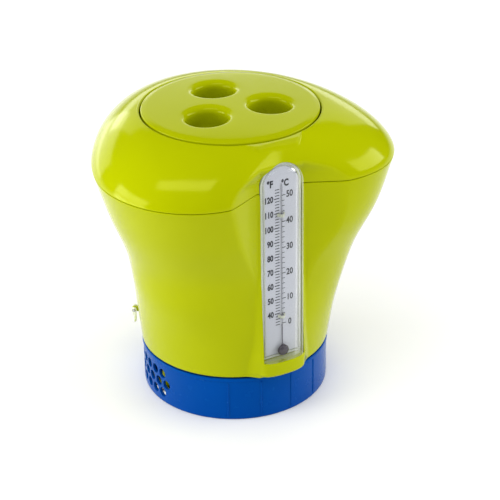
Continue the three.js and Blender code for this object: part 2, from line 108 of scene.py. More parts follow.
# The spine's foot: its flanks go from half width and front to a root BELL_ROOT from the axis.
# Each level has (height, half width, front, half width at the root), up to 2 mm less than in the CAD.
BELL_ROOT = 53
BELL = [(CHIN_Z, 12.4, 65.6, 23.7), (43, 14.6, 65, 23.4), (98, 14.6, 62, 18.4)]
POCKET_FLOOR = 57.1
POCKET_BACK = 54.4
POCKET_HALF = 14.2
POCKET_Z = (43, 175.2)
COVER_FRONT = 68
LID_R = 54.6
LID_TOP_Z = 191
LID_UNDER_Z = 184.6
WELL_R = 12.6
WELL_CIRCLE = 24
WELL_FLOOR = 173.6
WELL_SIDES = 72
WELL_ANGLES = [LOBE_ANGLE + 2 + 120 * i for i in range(3)]
SCREW_CIRCLE = 48.4
SCREW_ANGLES = (30, 150, 270)
TUBE_R = (40, 42)
TUBE_Z = (4, 172)
WINDOW_Z = (6, 25)
WINDOW_SPAN = 50
SLOT_ANGLES = (-20, -12, -4, 4, 12, 20)
SLOT_SPAN = 5
RING_R = 60
RING_WALL = 59.4
RIB_ANGLES = (-30.45, -10.15, 10.15, 30.45)
RIB_TURN = -2.3
VENT_ROWS = ((21.2, 5), (14.2, 6), (7.3, 5))
VENT_PITCH = 7.75
VENT_TURN = -5
PLATE_FRONT = 60.8
CAPILLARY_Y = 62
CAPILLARY_FOOT = 52.8
FLUID_TOP = 66.1
EYELET_ANGLE = -120
EYELET_PIVOT = (64.6, 46.5)    # distance from the axis, and height
PIN_HOLE_R = 1.1


# ---------- mesh making ----------

def polar(radius, degrees, z):
    """Points at plan angles, distances and heights."""
    a = np.radians(degrees)
    radius, a, z = np.broadcast_arrays(np.asarray(radius, float), a, np.asarray(z, float))
    return np.stack([radius * np.sin(a), -radius * np.cos(a), z], -1)


def new_object(name, mesh):
    obj = bpy.data.objects.new(name, mesh)
    bpy.context.scene.collection.objects.link(obj)
    return obj


def solid(name, *parts):
    """One mesh object of (points in millimetres, faces) parts, cleaned, with its faces pointing out."""
    points, faces, first = [], [], 0
    for part_points, part_faces in parts:
        part_points = np.asarray(part_points, float).reshape(-1, 3)
        points.append(part_points)
        faces += [[first + i for i in face] for face in part_faces]
        first += len(part_points)
    mesh = bpy.data.meshes.new(name)
    mesh.from_pydata((np.concatenate(points) * MM).tolist(), [], faces)
    work = bmesh.new()
    work.from_mesh(mesh)
    bmesh.ops.remove_doubles(work, verts=work.verts, dist=2e-7)
    bmesh.ops.dissolve_degenerate(work, edges=work.edges, dist=1e-7)
    bmesh.ops.recalc_face_normals(work, faces=work.faces)
    work.to_mesh(mesh)
    work.free()
    return new_object(name, mesh)


def strip_faces(rows, columns, close_rows=False, close_columns=False):
    """Quads of a grid of rows and columns."""
    faces = []
    for i in range(rows if close_rows else rows - 1):
        a, b = i * columns, ((i + 1) % rows) * columns
        for j in range(columns if close_columns else columns - 1):
            k = (j + 1) % columns
            faces.append([a + j, a + k, b + k, b + j])
    return faces


def grid(points, close_rows=False, close_columns=False):
    rows, columns = points.shape[:2]
    return points.reshape(-1, 3), strip_faces(rows, columns, close_rows, close_columns)


def lathe(profile, segments=192, centre=(0, 0)):
    """A closed profile of (radius, height) points turned round an upright line."""
    turns = np.arange(segments) * 360 / segments
    rows = np.array([polar(r, turns, z) for r, z in profile])
    points, faces = grid(rows, close_rows=profile[0][0] > 0, close_columns=True)
    return points + [centre[0], centre[1], 0], faces


def extrusion(outline, low, high):
    """A closed prism between two copies of an outline: low and high map (u, v) to a point."""
    n = len(outline)
    points = [low(u, v) for u, v in outline] + [high(u, v) for u, v in outline]
    sides = [[i, (i + 1) % n, n + (i + 1) % n, n + i] for i in range(n)]
    return np.array(points), sides + [list(range(n))[::-1], list(range(n, 2 * n))]


def upright(outline, z0, z1):
    return extrusion(outline, lambda x, y: (x, y, z0), lambda x, y: (x, y, z1))


def facing(outline, back, front):
    """A prism whose outline is (x, z), between two distances towards the front."""
    return extrusion(outline, lambda x, z: (x, -back, z), lambda x, z: (x, -front, z))


def round_top(half, z0, z1, steps=40):
    """Outline of a slab with a round top."""
    arc = np.linspace(0, math.pi, steps + 1)
    top = [(half * math.cos(t), z1 - half + half * math.sin(t)) for t in arc]
    return [(-half, z0), (half, z0)] + top


def sector(r_in, r_out, z0, z1, degrees, span, step=1.0):
    """A piece of a ring, centred at a plan angle."""
    turns = degrees + np.linspace(-span / 2, span / 2, max(2, int(span / step)) + 1)
    outline = np.concatenate([polar(r_out, turns, 0), polar(r_in, turns[::-1], 0)])[:, :2]
    return upright(outline.tolist(), z0, z1)


def turned(part, degrees):
    """A part moved from the front to a plan angle."""
    points, faces = part
    a = math.radians(degrees)
    matrix = np.array([[math.cos(a), math.sin(a), 0], [-math.sin(a), math.cos(a), 0], [0, 0, 1]])
    return np.asarray(points) @ matrix, faces


def rod(rings, axis_from, axis_to, segments=24):
    """Rings of (share of the way, radius) round a line, closed at both ends."""
    start, end = np.array(axis_from, float), np.array(axis_to, float)
    way = end - start
    side = np.cross(way, [0, 0, 1] if abs(way[2]) < 0.9 * np.linalg.norm(way) else [1, 0, 0])
    side /= np.linalg.norm(side)
    other = np.cross(way, side)
    other /= np.linalg.norm(other)
    a = np.arange(segments) * 2 * math.pi / segments
    circle = np.cos(a)[:, None] * side + np.sin(a)[:, None] * other
    rows = np.array([start + way * share + circle * radius for share, radius in rings])
    points, faces = grid(rows, close_columns=True)
    last = len(rings) - 1
    faces.append(list(range(segments)))
    faces.append([last * segments + i for i in range(segments)][::-1])
    return points, faces


def combine(obj, other, operation):
    """Joins another object to obj, or cuts it out of obj."""
    modifier = obj.modifiers.new(operation.lower(), "BOOLEAN")
    modifier.operation = operation
    modifier.solver = "EXACT"
    modifier.object = other
    graph = bpy.context.evaluated_depsgraph_get()
    mesh = bpy.data.meshes.new_from_object(obj.evaluated_get(graph))
    obj.modifiers.clear()
    obj.data = mesh
    bpy.data.objects.remove(other)
    return obj


def cut(obj, *parts):
    return combine(obj, solid("cutter", *parts), "DIFFERENCE")


def add(obj, *parts):
    return combine(obj, solid("addition", *parts), "UNION")


def smooth_min(a, b, blend):
    share = np.clip(blend - np.abs(a - b), 0, None) / blend
    return np.minimum(a, b) - share * share * blend / 4


def smooth_max(a, b, blend):
    return -smooth_min(-a, -b, blend)


def smooth_step(low, high, value):
    t = np.clip((value - low) / (high - low), 0, 1)
    return t * t * (3 - 2 * t)


def quarter(steps):
    """Angles of a rounded edge."""
    return np.linspace(0, math.pi / 2, steps + 1)


# ---------- materials ----------

def node(tree, kind, **values):
    made = tree.nodes.new(kind)
    for key, value in values.items():
        if isinstance(value, bpy.types.NodeSocket):
            tree.links.new(value, made.inputs[key.replace("_", " ")])
        elif hasattr(made, key):
            setattr(made, key, value)
        else:
            made.inputs[key.replace("_", " ")].default_value = value
    return made


def noise(tree, scale, detail=3.0):
    place = node(tree, "ShaderNodeTexCoord").outputs["Object"]
    return node(tree, "ShaderNodeTexNoise", Vector=place, Scale=scale, Detail=detail).outputs["Fac"]


def spread(tree, value, low, high):
    """A noise value spread over a range."""
    made = node(tree, "ShaderNodeMapRange", Value=value)
    for key, number in (("From Min", 0.3), ("From Max", 0.7), ("To Min", low), ("To Max", high)):
        made.inputs[key].default_value = number
    return made.outputs["Result"]


def moulded(name, colour, roughness, variation=0.05, grain=0.06, grain_scale=2500, metallic=0.0,
            broad_scale=18, specular=0.5, tint=(1, 1, 1)):
    """A plastic, rubber or metal: colour and gloss that vary a little, and a fine surface grain."""
    material = bpy.data.materials.new(name)
    material.use_nodes = True
    tree = material.node_tree
    shader = tree.nodes["Principled BSDF"]
    broad = noise(tree, broad_scale)
    shade = spread(tree, broad, 1 - variation, 1 + variation)
    tinted = node(tree, "ShaderNodeVectorMath", operation="SCALE", Scale=shade)
    tinted.inputs[0].default_value = colour
    tree.links.new(tinted.outputs["Vector"], shader.inputs["Base Color"])
    gloss = spread(tree, noise(tree, 140), roughness * 0.85, roughness * 1.2)
    tree.links.new(gloss, shader.inputs["Roughness"])
    shader.inputs["Metallic"].default_value = metallic
    shader.inputs["Specular IOR Level"].default_value = specular
    shader.inputs["Specular Tint"].default_value = (*tint, 1)
    bump = node(tree, "ShaderNodeBump", Height=noise(tree, grain_scale, 2.0), Strength=grain)
    bump.inputs["Distance"].default_value = 0.0002
    tree.links.new(bump.outputs["Normal"], shader.inputs["Normal"])
    return material


def clear_sheet(name, tint, reflect, roughness, painted_edge_sheen, milk=0.0):
    """Clear plastic or glass as a thin sheet: light passes straight through, and towards the edges it turns
    glossy and white, the white at the edges a painted reflection of the pale surroundings; milk adds an even
    white share."""
    material = bpy.data.materials.new(name)
    material.use_nodes = True
    tree = material.node_tree
    tree.nodes.remove(tree.nodes["Principled BSDF"])
    through = node(tree, "ShaderNodeBsdfTransparent", Color=(*tint, 1))
    rough = spread(tree, noise(tree, 60), roughness * 0.7, roughness * 1.3)
    bump = node(tree, "ShaderNodeBump", Height=noise(tree, 45), Strength=0.2)
    bump.inputs["Distance"].default_value = 0.0006
    shine = node(tree, "ShaderNodeBsdfAnisotropic", Color=(1, 1, 1, 1), Roughness=rough,
                 Normal=bump.outputs["Normal"])
    edge = node(tree, "ShaderNodeLayerWeight", Blend=0.25, Normal=bump.outputs["Normal"])
    share = node(tree, "ShaderNodeMath", operation="MULTIPLY")
    tree.links.new(edge.outputs["Fresnel"], share.inputs[0])
    share.inputs[1].default_value = reflect
    mix = node(tree, "ShaderNodeMixShader")
    tree.links.new(share.outputs[0], mix.inputs[0])
    tree.links.new(through.outputs[0], mix.inputs[1])
    tree.links.new(shine.outputs[0], mix.inputs[2])
    # A white diffuse: its share at grazing angles is a painted reflection of the pale surroundings, and milk
    # gives it an even share everywhere.
    milk_and_painted_sheen = node(tree, "ShaderNodeBsdfDiffuse", Color=(0.86, 0.88, 0.8, 1))
    facing_away = node(tree, "ShaderNodeLayerWeight", Blend=0.5)
    steep = node(tree, "ShaderNodeMath", operation="POWER")
    tree.links.new(facing_away.outputs["Facing"], steep.inputs[0])
    steep.inputs[1].default_value = 3
    edge_share = node(tree, "ShaderNodeMath", operation="MULTIPLY_ADD")
    tree.links.new(steep.outputs[0], edge_share.inputs[0])
    edge_share.inputs[1].default_value = painted_edge_sheen
    edge_share.inputs[2].default_value = milk
    blend = node(tree, "ShaderNodeMixShader")
    tree.links.new(edge_share.outputs[0], blend.inputs[0])
    tree.links.new(mix.outputs[0], blend.inputs[1])
    tree.links.new(milk_and_painted_sheen.outputs[0], blend.inputs[2])
    tree.links.new(blend.outputs[0], tree.nodes["Material Output"].inputs["Surface"])
    return material


LIME = (0.358, 0.398, 0.0)
# The lid's lime is a darker copy of the body's lime: painted shade for the lid's top, which faces more of
# the light.
LID_LIME_PAINTED_SHADE = (0.335, 0.373, 0.0)
LIME_GLOSS = (1, 1, 0.35)
lime = moulded("lime plastic", LIME, 0.13, variation=0.03, grain=0.02, specular=0.28, tint=LIME_GLOSS)
lime_lid_painted_shade = moulded("lime plastic of the lid with painted shade", LID_LIME_PAINTED_SHADE, 0.15, variation=0.03, grain=0.03, specular=0.26,
                   tint=LIME_GLOSS)
blue = moulded("blue plastic", (0.0, 0.062, 0.29), 0.24, variation=0.04, grain=0.03, specular=0.3,
               tint=(0.05, 0.6, 1))
white = moulded("white plastic", (0.72, 0.74, 0.76), 0.4)
scale_white = moulded("white scale card", (0.47, 0.48, 0.54), 0.45, variation=0.03, grain=0.05)
ink = moulded("scale ink", (0.025, 0.025, 0.035), 0.5, variation=0.2)
tray_white = moulded("white tray", (0.56, 0.58, 0.54), 0.4)
spirit = moulded("dark spirit", (0.045, 0.035, 0.055), 0.12, variation=0.1, grain=0.0)
rubber = moulded("black rubber", (0.02, 0.021, 0.023), 0.75, variation=0.25, grain=0.3, grain_scale=1200)
steel = moulded("screw steel", (0.55, 0.56, 0.57), 0.3, variation=0.08, metallic=1.0, grain=0.1)
iron = moulded("ballast iron", (0.16, 0.16, 0.17), 0.55, variation=0.3, metallic=1.0, grain=0.4,
               grain_scale=500)
clip_plastic = moulded("clip plastic", (0.50, 0.52, 0.44), 0.35)
cover_clear = clear_sheet("clear cover", (0.985, 0.99, 0.985), 0.35, 0.08, 0.6)
glass = clear_sheet("capillary glass", (0.995, 0.995, 1.0), 0.05, 0.05, 0.2)
eyelet_clear = clear_sheet("clear eyelet", (0.95, 0.96, 0.97), 0.2, 0.12, 0.4, 0.72)

MATERIAL_OF_SLOT = {
    "lime_plastic": lime,
    "blue_plastic": blue,
    "white_plastic": white,
    "scale_white": scale_white,
    "clear_plastic": cover_clear,
    "capillary_glass": glass,
    "dark_spirit": spirit,
    "black_rubber": rubber,
    "screw_steel": steel,
    "ballast_iron": iron,
}


def piece(obj, name, body, slot, material=None, stands_for=(), sharp=32):
    """Names, shades and attaches a finished piece."""
    obj.name = name
    obj.data.name = name
    obj.data.materials.clear()
    obj.data.materials.append(material or MATERIAL_OF_SLOT[slot])
    obj.data.shade_smooth()
    obj.data.set_sharp_from_angle(angle=math.radians(sharp))
    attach(obj, body)
    if stands_for:
        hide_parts(*stands_for)
    return obj


# ---------- camera ----------

VIEW_ANGLE = -28          # plan angle of the camera
VIEW_ELEVATION = 32.17
VIEW_DISTANCE = 1.12435
SENSOR_WIDTH = 36
FOCAL_LENGTH = 122.63328
PAN = -0.57
TILT = 3.99
ROLL = 1.19


def add_camera():
    lift = math.radians(VIEW_ELEVATION)
    place = Vector(polar(math.cos(lift), VIEW_ANGLE, math.sin(lift))) * VIEW_DISTANCE
    forward = -place.normalized()
    right = Matrix.Rotation(math.radians(VIEW_ANGLE), 3, "Z") @ Vector((1, 0, 0))
    up = right.cross(forward)
    pan = Matrix.Rotation(math.radians(PAN), 3, up)
    forward, right = pan @ forward, pan @ right
    tilt = Matrix.Rotation(math.radians(TILT), 3, right)
    forward, up = tilt @ forward, tilt @ up
    roll = Matrix.Rotation(math.radians(ROLL), 3, forward)
    right, up = roll @ right, roll @ up
    data = bpy.data.cameras.new("camera")
    data.lens = FOCAL_LENGTH
    data.sensor_width = SENSOR_WIDTH
    data.clip_start = 0.05
    camera = bpy.data.objects.new("camera", data)
    bpy.context.scene.collection.objects.link(camera)
    turn = Matrix((right, up, -forward)).transposed()
    camera.matrix_world = Matrix.Translation(place) @ turn.to_4x4()
    bpy.context.scene.camera = camera


add_camera()


# ---------- the float's surface ----------

CREST_BLEND = 1.9         # rounding where a lobe turns into the valley
ROOT_BLEND = 1.2          # fillet where the spine leaves the float
EDGE_BLEND = 0.8
CHIN_BLEND = 1.6          # fillet between the chin and the spine's flanks
BELL_BLEND = 1.6
CHIN_EDGE = 2.6           # rounding of the chin's and the bell's underside
SIDE_LIMIT = 60           # degrees from the front beyond which the valley and the chin stay as they are
SPINE_LIMIT = 44          # the same for the spine and its foot


def at_level(values, z):
    """Smooth curve through the values at LEVELS."""
    values = np.asarray(values, float)
    steps = np.diff(LEVELS)
    rises = np.diff(values) / steps
    share = steps[1:] / (steps[:-1] + steps[1:])
    middle = share * rises[:-1] + (1 - share) * rises[1:]
    slopes = np.concatenate([rises[:1], middle, rises[-1:]])
    z = np.clip(z, LEVELS[0], LEVELS[-1])
    i = np.clip(np.searchsorted(LEVELS, z, "right") - 1, 0, len(steps) - 1)
    t = (z - LEVELS[i]) / steps[i]
    start = (2 * t - 3) * t * t + 1
    bend = ((t - 2) * t + 1) * t * slopes[i] + (t - 1) * t * t * slopes[i + 1]
    return start * values[i] + (1 - start) * values[i + 1] + steps[i] * bend


def wrapped(degrees):
    return (degrees + 540) % 360 - 180


def from_front(degrees, limit):
    """Angle from the thermometer in radians, to either side and no more than a limit."""
    return np.radians(np.minimum(np.abs(wrapped(degrees)), limit))


def lobed_radius(degrees, z):
    dip = np.exp(-(wrapped(degrees - DIP_ANGLE) / DIP_SPREAD) ** 2)
    radius = (at_level(MEAN_RADIUS, z)
              + at_level(LOBE_HEIGHT, z) * np.cos(np.radians(3 * (degrees - LOBE_ANGLE)))
              + at_level(PLAN_SHIFT, z) * np.cos(np.radians(degrees - SHIFT_ANGLE))
              - at_level(FRONT_DIP, z) * dip)
    rise = np.clip((z - SEAM_Z) / (SHOULDER_Z - SEAM_Z), 0, 1)
    return OPENING_R + (radius - OPENING_R) * (1 - rise ** DOME_POWER) ** (1 / DOME_POWER)


def valley_radius(degrees):
    """The flat floor and sloping walls that hold the thermometer, and far off beyond them."""
    side = from_front(degrees, SIDE_LIMIT)
    wall = (VALLEY_DEPTH - VALLEY_HALF * VALLEY_SLOPE) / (np.cos(side) - VALLEY_SLOPE * np.sin(side))
    return np.maximum(wall, VALLEY_DEPTH / np.cos(side))


def spine_radius(degrees, z):
    """The ridge behind the thermometer: a flat front, sloping flanks and a top that sinks into the dome."""
    side = from_front(degrees, SPINE_LIMIT)
    front = SPINE_FRONT / np.cos(side)
    flank = SPINE_FALL * SPINE_HALF + SPINE_SPREAD * SPINE_FRONT
    flank = flank / (SPINE_SPREAD * np.cos(side) + SPINE_FALL * np.sin(side))
    return smooth_min(front, flank, EDGE_BLEND) - SPINE_SINK * smooth_step(*SPINE_FADE, z)


def chin_radius(degrees):
    """The crowned bar under the cover, by bisection of its superellipse."""
    side = from_front(degrees, SIDE_LIMIT)
    base = SPINE_FRONT - 1
    low = base / np.cos(side)
    high = np.full_like(low, 90.0)
    for _ in range(40):
        middle = (low + high) / 2
        across = middle * np.sin(side) / SPINE_HALF
        ahead = (middle * np.cos(side) - base) / (COVER_FRONT - base)
        inside = across ** CHIN_POWER + ahead ** CHIN_POWER < 1
        low, high = np.where(inside, middle, low), np.where(inside, high, middle)
    return np.where(np.tan(side) * base < SPINE_HALF, low, 0.0)


def bell_radius(degrees, z):
    """The spine's foot: flanks that spread and come forward towards the chin, on both sides of the cover."""
    heights, halves, fronts, roots = zip(*BELL)
    half, front, root = (np.interp(z, heights, values) for values in (halves, fronts, roots))
    side = from_front(degrees, SPINE_LIMIT)
    ahead = BELL_ROOT - front
    across = root - half
    flank = (half * ahead - front * across) / (np.sin(side) * ahead - np.cos(side) * across)
    sink = SPINE_SINK * smooth_step(heights[-1] - 6, heights[-1] + 10, z)
    return smooth_min(front / np.cos(side), flank, 2 * EDGE_BLEND) - sink


def surface(degrees, z, chin=None, bell=0.0):
    """Distance from the axis to the float's outside. The chin and the bell are drawn in by the distances
    given, and None leaves one out."""
    valley = valley_radius(degrees) + VALLEY_RISE * smooth_step(*VALLEY_FADE, z)
    radius = smooth_min(lobed_radius(degrees, z), valley, CREST_BLEND)
    radius = smooth_max(radius, spine_radius(degrees, z), ROOT_BLEND)
    if bell is not None:
        radius = smooth_max(radius, bell_radius(degrees, z) - bell, BELL_BLEND)
    if chin is not None:
        radius = smooth_max(radius, chin_radius(degrees) - chin, CHIN_BLEND)
    return radius


def inner_surface(degrees, z):
    """The cavity's wall, which stays behind the thermometer's pocket."""
    behind = POCKET_BACK / np.cos(from_front(degrees, 40))
    share = smooth_step(17, 22, np.abs(wrapped(degrees)))
    wall = surface(degrees, z, bell=None) - WALL
    return behind + (wall - behind) * share


# Plan angles of the shells' meshes, closer together at the thermometer
COLUMNS = np.concatenate([np.arange(-42, 42, 0.5), np.arange(42, 318, 1.2)])

SEAM_GAP = 0.22
SEAM_EDGE = 0.7           # rounding of the lower shell's top edge
FOOT_EDGE = 1.3
POCKET_EDGE = 0.5         # rounding of the chin's top, below the cover


def lower_float():
    top = SEAM_Z - SEAM_GAP
    rows = []

    def row(radius, z):
        rows.append(polar(radius, COLUMNS, z))

    for t in quarter(5):
        z = FOOT_Z + FOOT_EDGE * (1 - math.sin(t))
        row(surface(COLUMNS, z, bell=None) - FOOT_EDGE * (1 - math.cos(t)), z)
    rows.reverse()
    row(surface(COLUMNS, CHIN_Z, bell=None), CHIN_Z)
    for t in quarter(6):
        z = CHIN_Z + CHIN_EDGE * (1 - math.cos(t))
        inset = CHIN_EDGE * (1 - math.sin(t))
        row(surface(COLUMNS, z, inset, inset), z)
    for z in np.linspace(CHIN_Z + CHIN_EDGE, POCKET_Z[0] - POCKET_EDGE, 6)[1:]:
        row(surface(COLUMNS, z, 0.0), z)
    for t in quarter(3)[1:]:
        z = POCKET_Z[0] - POCKET_EDGE * (1 - math.sin(t))
        row(surface(COLUMNS, z, POCKET_EDGE * (1 - math.cos(t))), z)
    row(surface(COLUMNS, POCKET_Z[0]), POCKET_Z[0])
    for z in np.linspace(POCKET_Z[0], top - SEAM_EDGE, 60)[1:]:
        row(surface(COLUMNS, z), z)
    for t in quarter(4)[1:]:
        z = top - SEAM_EDGE * (1 - math.sin(t))
        row(surface(COLUMNS, z) - SEAM_EDGE * (1 - math.cos(t)), z)
    for z in np.linspace(top, FOOT_Z + WALL, 22):
        row(inner_surface(COLUMNS, z), z)
    foot = [
        (SEAT_R, FOOT_Z + WALL), (SEAT_R, FOOT_Z), (SKIRT_R[0], FOOT_Z),
        (SKIRT_R[0], SKIRT_Z + 0.4), (SKIRT_R[0] + 0.4, SKIRT_Z),
        (SKIRT_R[1] - 0.4, SKIRT_Z), (SKIRT_R[1], SKIRT_Z + 0.4), (SKIRT_R[1], FOOT_Z),
    ]
    for radius, z in foot:
        row(radius, z)
    shell = solid("lower_float", grid(np.array(rows), True, True))
    cut(shell, facing(round_top(POCKET_HALF, POCKET_Z[0] + 0.05, POCKET_Z[1]), POCKET_FLOOR, 80))
    cut(shell, *[sector(50, 56, *WINDOW_Z, side + VENT_TURN, WINDOW_SPAN) for side in (90, -90)])
    for angle in SCREW_ANGLES:
        add(shell, boss(angle))
    cut(shell, *[rod([(0, 1.5), (1, 1.5)], polar(SCREW_CIRCLE, a, 0), polar(SCREW_CIRCLE, a, 16), 16)
                 for a in SCREW_ANGLES])
    add(shell, *[sector(SKIRT_R[1] - 0.4, 57.1, 10, 14, angle, 5) for angle in (-144, -36)])
    add(shell, turned(ear(), EYELET_ANGLE))
    cut(shell, turned(cross_rod(PIN_HOLE_R, -4, 4), EYELET_ANGLE))
    return piece(shell, "lower_float", "float_body", "lime_plastic", stands_for=["lower_shell"])


def boss(angle):
    """A screw post in the foot, trimmed to the seat of the tube."""
    centre = polar(SCREW_CIRCLE, angle, 0)[:2]
    outline = []
    for t in np.arange(32) * 2 * math.pi / 32:
        point = centre + 4.2 * np.array([math.cos(t), math.sin(t)])
        distance = np.linalg.norm(point)
        outline.append(point * max(1, (SEAT_R + 0.1) / distance))
    return upright(outline, SKIRT_Z + 0.2, FOOT_Z + 1)


def ear():
    """The lug that holds the eyelet's pin: an upright tongue with a rounded end and a hole."""
    distance, height = EYELET_PIVOT
    arc = np.linspace(-math.pi / 2, math.pi / 2, 13)
    outer = [(-distance - 1.4 * math.cos(t), height + 1.4 * math.sin(t)) for t in arc]
    outline = [(-59, height - 1.4)] + outer + [(-59, height + 1.4)]
    return extrusion(outline, lambda y, z: (-1.2, y, z), lambda y, z: (1.2, y, z))


def cross_rod(radius, x0, x1, segments=24, edge=0.0):
    """A rod along the eyelet's axis."""
    distance, height = EYELET_PIVOT
    share = edge / (x1 - x0)
    rings = [(0, radius - edge), (share, radius), (1 - share, radius), (1, radius - edge)]
    if not edge:
        rings = [(0, radius), (1, radius)]
    return rod(rings, (x0, -distance, height), (x1, -distance, height), segments)


def upper_float():
    bottom = SEAM_Z + SEAM_GAP
    side = np.abs(wrapped(COLUMNS))
    cup = 57 - 3.2 * (1 - smooth_step(21, 27, side))
    roof = 185 - (185 - LEDGE_Z + WALL) * (1 - smooth_step(20, 26, side))
    lip = 1.3
    edge = 0.3
    rows = []

    def row(radius, z):
        rows.append(polar(radius, COLUMNS, z))

    for t in quarter(3):
        z = bottom + edge * (1 - math.sin(t))
        row(surface(COLUMNS, z) - edge * (1 - math.cos(t)), z)
    rows.reverse()
    top = SHOULDER_Z
    for s in np.linspace(0, 1, 46)[1:-1]:
        z = bottom + edge + (top - bottom - edge) * math.sin(math.pi / 2 * s) ** (2 / DOME_POWER)
        radius = surface(COLUMNS, z)
        row(np.maximum(radius, OPENING_R + lip * (1 + 0.001 * s)), z)
    for t in quarter(6):
        row(OPENING_R + lip * (1 - math.sin(t)), top - lip * (1 - math.cos(t)))
    for radius, z in ((OPENING_R, LEDGE_Z + 0.4), (OPENING_R - 0.4, LEDGE_Z), (SEAT_R, LEDGE_Z),
                      (SEAT_R, LEDGE_Z - WALL)):
        row(radius, z)
    row(cup, LEDGE_Z - WALL)
    for s in np.linspace(0, 1, 16):
        z = roof - (roof - bottom) * (1 - math.cos(math.pi / 2 * s))
        radius = np.maximum(inner_surface(COLUMNS, z), cup)
        row(radius if s else cup, z)
    shell = solid("upper_float", grid(np.array(rows), True, True))
    cut(shell, facing(round_top(POCKET_HALF, 100, POCKET_Z[1]), POCKET_FLOOR, 80))
    return piece(shell, "upper_float", "float_body", "lime_plastic", stands_for=["upper_shell"])


# ---------- lid ----------

LID_EDGE_R = 50           # where the dome starts to fall to the edge
LID_SEGMENTS = 160
LID_DOME = 2.3            # fall of the dome from the middle to the edge
LID_ROLL = 0.9            # further fall outside LID_EDGE_R
LID_CORNER = 1.1
WELL_FILLET = 4.4
WELL_BOWL = 5.0           # rounding at a well's floor
WELL_WALL = 1.8


def lid_height(x, y):
    """Top of the lid: a shallow dome that rolls off at its edge."""
    r = np.hypot(x, y)
    roll = np.clip((r - LID_EDGE_R) / (LID_R - LID_EDGE_R), 0, 1)
    return LID_TOP_Z - LID_DOME * (r / LID_R) ** 2 - LID_ROLL * roll ** 2


def pitted_disc(edge, height, wells):
    """A disc of triangles at height(x, y), left open over round wells, each of (x, y, radius)."""
    points, edges = [], []

    def ring_of(x, y, radius, count):
        first = len(points)
        for i in range(count):
            a = 2 * math.pi * i / count
            points.append((x + radius * math.sin(a), y - radius * math.cos(a)))
            edges.append((first + i, first + (i + 1) % count))

    ring_of(0, 0, edge, LID_SEGMENTS)
    for x, y, radius in wells:
        ring_of(x, y, radius, WELL_SIDES)
    pitch = 2.0
    for i in range(-30, 31):
        for j in range(-34, 35):
            x = pitch * (i + 0.5 * (j % 2))
            y = pitch * 0.866 * j
            if math.hypot(x, y) > edge - 1.4:
                continue
            if all(math.hypot(x - a, y - b) > r + 1.1 for a, b, r in wells):
                points.append((x, y))
    flat, _, faces, *_ = delaunay_2d_cdt([Vector(p) for p in points], edges, [], 0, 1e-6)
    kept = []
    for face in faces:
        cx = sum(flat[i].x for i in face) / len(face)
        cy = sum(flat[i].y for i in face) / len(face)
        if all(math.hypot(cx - a, cy - b) > r - 0.02 for a, b, r in wells):
            kept.append(list(face))
    plan = np.array([(p.x, p.y) for p in flat])
    return np.column_stack([plan, height(plan[:, 0], plan[:, 1])]), kept


def pit(x, y, rings):
    """A round pit of (radius, height) rings, closed by a fan at its floor. Heights may follow the angle."""
    a = np.arange(WELL_SIDES) * 2 * math.pi / WELL_SIDES
    rows = []
    for radius, height in rings:
        px = x + radius * np.sin(a)
        py = y - radius * np.cos(a)
        z = height(px, py) if callable(height) else np.full_like(px, height)
        rows.append(np.column_stack([px, py, z]))
    points, faces = grid(np.array(rows), close_columns=True)
    last = (len(rings) - 1) * WELL_SIDES
    centre = len(points)
    points = np.vstack([points, [x, y, rows[-1][0][2]]])
    faces += [[last + i, last + (i + 1) % WELL_SIDES, centre] for i in range(WELL_SIDES)]
    return points, faces


def lid():
    centres = [polar(WELL_CIRCLE, a, 0)[:2] for a in WELL_ANGLES]
    top_wells = [(x, y, WELL_R + WELL_FILLET) for x, y in centres]
    parts = [pitted_disc(LID_EDGE_R, lid_height, top_wells)]
    rings = []
    for t in quarter(8):
        drop = WELL_FILLET * (1 - math.cos(t))
        rings.append((WELL_R + WELL_FILLET * (1 - math.sin(t)), lambda x, y, d=drop: lid_height(x, y) - d))
    for z in np.linspace(184, WELL_FLOOR + WELL_BOWL, 5):
        rings.append((WELL_R, z))
    for t in quarter(6)[1:]:
        rings.append((WELL_R - WELL_BOWL * (1 - math.cos(t)), WELL_FLOOR + WELL_BOWL * (1 - math.sin(t))))
    rings.append((3.5, WELL_FLOOR))
    parts += [pit(x, y, rings) for x, y in centres]
    turns = np.arange(LID_SEGMENTS) * 360 / LID_SEGMENTS
    shoulder = LID_R - LID_CORNER
    corner = lid_height(0, shoulder)
    rim = [(r, lid_height(0, r)) for r in np.linspace(LID_EDGE_R, shoulder, 9)]
    for t in quarter(5)[1:]:
        rim.append((shoulder + LID_CORNER * math.sin(t), corner - LID_CORNER * (1 - math.cos(t))))
    rim += [(LID_R, LID_UNDER_Z + 0.4), (LID_R - 0.4, LID_UNDER_Z), (LID_EDGE_R, LID_UNDER_Z)]
    parts.append(grid(np.array([polar(r, turns, z) for r, z in rim]), close_columns=True))
    outside = WELL_R + WELL_WALL
    under_wells = [(x, y, outside) for x, y in centres]
    parts.append(pitted_disc(LID_EDGE_R, lambda x, y: 0 * x + LID_UNDER_Z, under_wells))
    cup = [(outside, z) for z in (LID_UNDER_Z, 180, 176, 173.4)]
    for t in quarter(4)[1:]:
        cup.append((outside - WELL_WALL * (1 - math.cos(t)), 173.4 - WELL_WALL * math.sin(t)))
    parts += [pit(x, y, cup + [(4, 171.6)]) for x, y in centres]
    body = solid("lid", *parts)
    skirt = [(46.6, 173.6), (47, 173.2), (48.6, 173.2), (49, 173.6), (49, LID_UNDER_Z + 0.6),
             (46.6, LID_UNDER_Z + 0.6)]
    add(body, lathe(skirt, 180))
    add(body, *[sector(47.8, 52.1, 174.2, 177.2, a, 20) for a in WELL_ANGLES])
    # the lid gets the darker copy of the lime, painted shade for its top
    return piece(body, "finger_lid", "lid", "lime_plastic", lime_lid_painted_shade, ["lid"])


